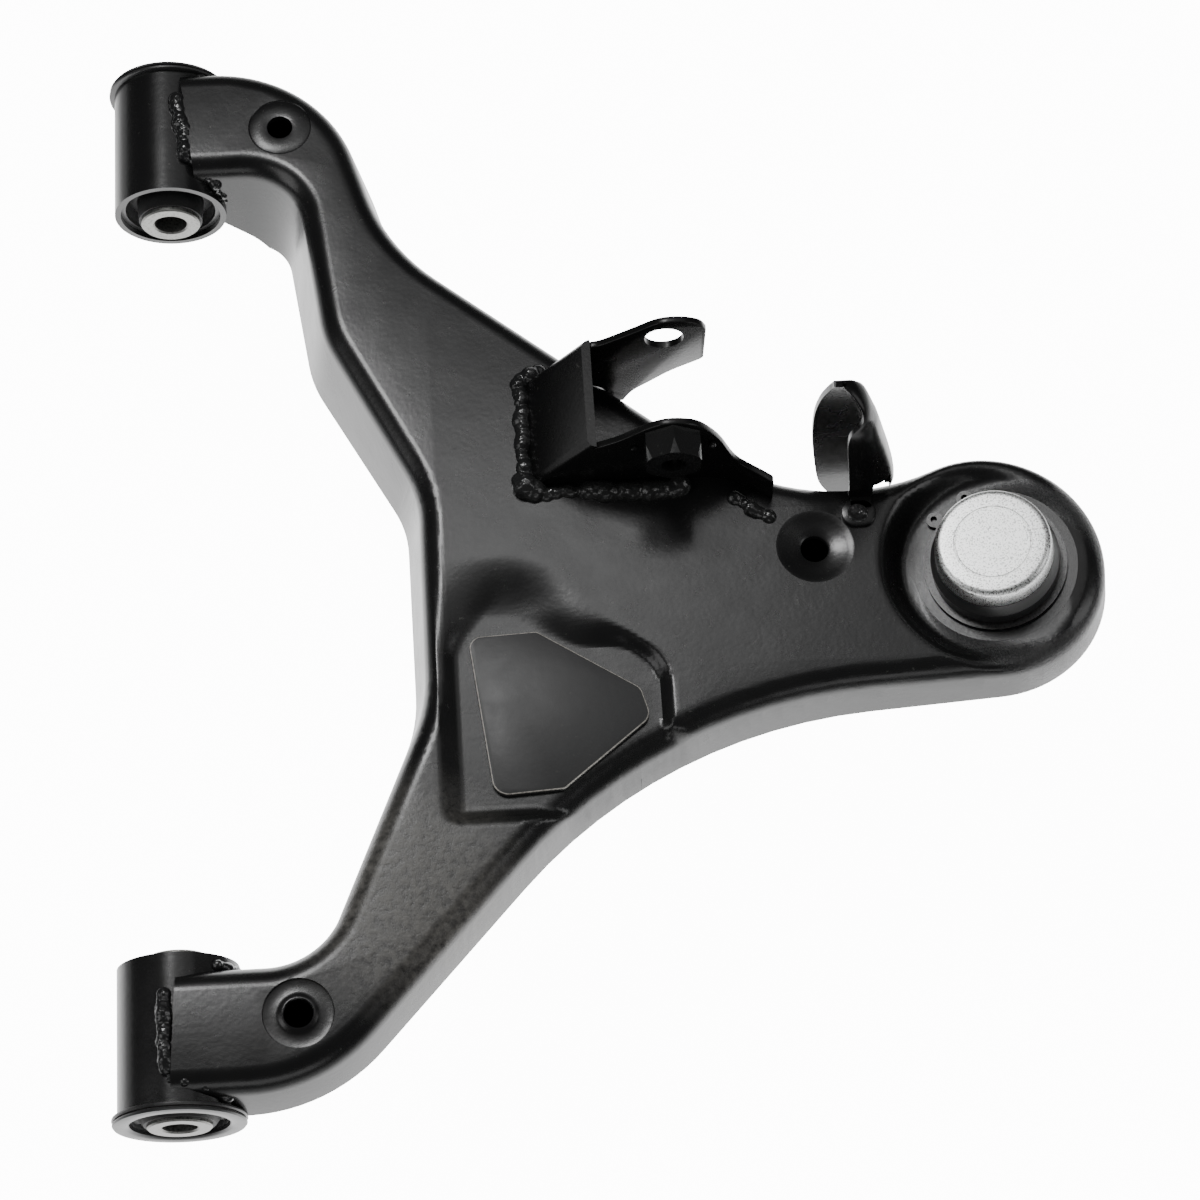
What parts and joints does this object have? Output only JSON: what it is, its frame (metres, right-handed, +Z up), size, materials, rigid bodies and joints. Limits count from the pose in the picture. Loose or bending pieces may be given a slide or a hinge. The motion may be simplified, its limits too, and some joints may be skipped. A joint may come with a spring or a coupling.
{
  "type": "lower control arm",
  "caption": "Pressed-steel A-shaped lower suspension arm with rubber pivot bushes, damper bracket, bump and droop stops, and a pressed-in ball joint with a tapered stud.",
  "frame": {"origin": "middle of the pivot axis, halfway between the two bushes", "axes": "+X outboard to the ball joint, +Y along the pivot axis towards the front bush, +Z up, square to the flat top of the arm"},
  "size_m": [0.4881, 0.5583, 0.1899],
  "materials": {
    "black_paint": "gloss black dip coating over pressed steel",
    "painted_weld": "gloss black coating over rippled weld beads",
    "sleeve_paint": "semi-gloss black coating, rubbed bright at the rim",
    "pad_paint": "satin black coating",
    "bush_rubber": "matt black moulded rubber",
    "sleeve_steel": "turned steel with a thin clear zinc plating",
    "housing_coating": "satin black phosphate and oil",
    "cap_zinc": "bright clear zinc plating",
    "spring_steel": "dark oiled spring steel",
    "liner_plastic": "natural acetal",
    "stud_steel": "ground and rolled alloy steel",
    "boot_rubber": "smooth black rubber"
  },
  "bodies": {
    "arm": {"upper_shell": "black_paint", "lower_shell": "black_paint", "seam_weld": "painted_weld", "front_bush_tube": "black_paint", "rear_bush_tube": "black_paint", "front_bush_weld": "painted_weld", "rear_bush_weld": "painted_weld", "front_outer_sleeve": "sleeve_paint", "rear_outer_sleeve": "sleeve_paint", "front_bush_rubber": "bush_rubber", "rear_bush_rubber": "bush_rubber", "bump_stop_pad": "pad_paint", "damper_bracket": "black_paint", "damper_bracket_weld": "painted_weld", "damper_weld_nut": "black_paint", "droop_stop": "black_paint", "droop_stop_weld": "painted_weld", "ball_joint_eye": "black_paint", "ball_joint_housing": "housing_coating", "ball_joint_cap": "cap_zinc", "snap_ring": "spring_steel", "ball_seat_liner": "liner_plastic", "ball_preload_disc": "spring_steel", "boot_upper_ring": "spring_steel"},
    "front_sleeve": {"front_inner_sleeve": "sleeve_steel"},
    "rear_sleeve": {"rear_inner_sleeve": "sleeve_steel"},
    "boot": {"dust_boot": "boot_rubber"},
    "boot_collar": {"boot_lower_ring": "spring_steel"},
    "stud": {"ball_stud": "stud_steel"}
  },
  "joints": [
    {"name": "front_bush_twist", "type": "hinge", "parent": "arm", "child": "front_sleeve", "pos_m": [0, 0.237, 0], "axis": [0, 1, 0], "range_deg": [-20, 20], "stiffness_Nm_per_rad": 80},
    {"name": "rear_bush_twist", "type": "hinge", "parent": "arm", "child": "rear_sleeve", "pos_m": [0, -0.237, 0], "axis": [0, 1, 0], "range_deg": [-20, 20], "stiffness_Nm_per_rad": 80},
    {"name": "stud_rock", "type": "hinge", "parent": "arm", "child": "boot", "pos_m": [0.40155, -0.028, 0.01423], "axis": [0.9833, 0, 0.1822], "range_deg": [-15, 15], "deforming": ["dust_boot"]},
    {"name": "stud_swing", "type": "hinge", "parent": "boot", "child": "boot_collar", "pos_m": [0.40155, -0.028, 0.01423], "axis": [0, 1, 0], "range_deg": [-15, 15]},
    {"name": "stud_spin", "type": "hinge", "parent": "boot_collar", "child": "stud", "pos_m": [0.40155, -0.028, 0.01423], "axis": [-0.1822, 0, 0.9833], "range_deg": [-90, 90]}
  ],
  "couplings": [
    {"joint": "rear_bush_twist", "follows": "front_bush_twist", "ratio": 1}
  ]
}
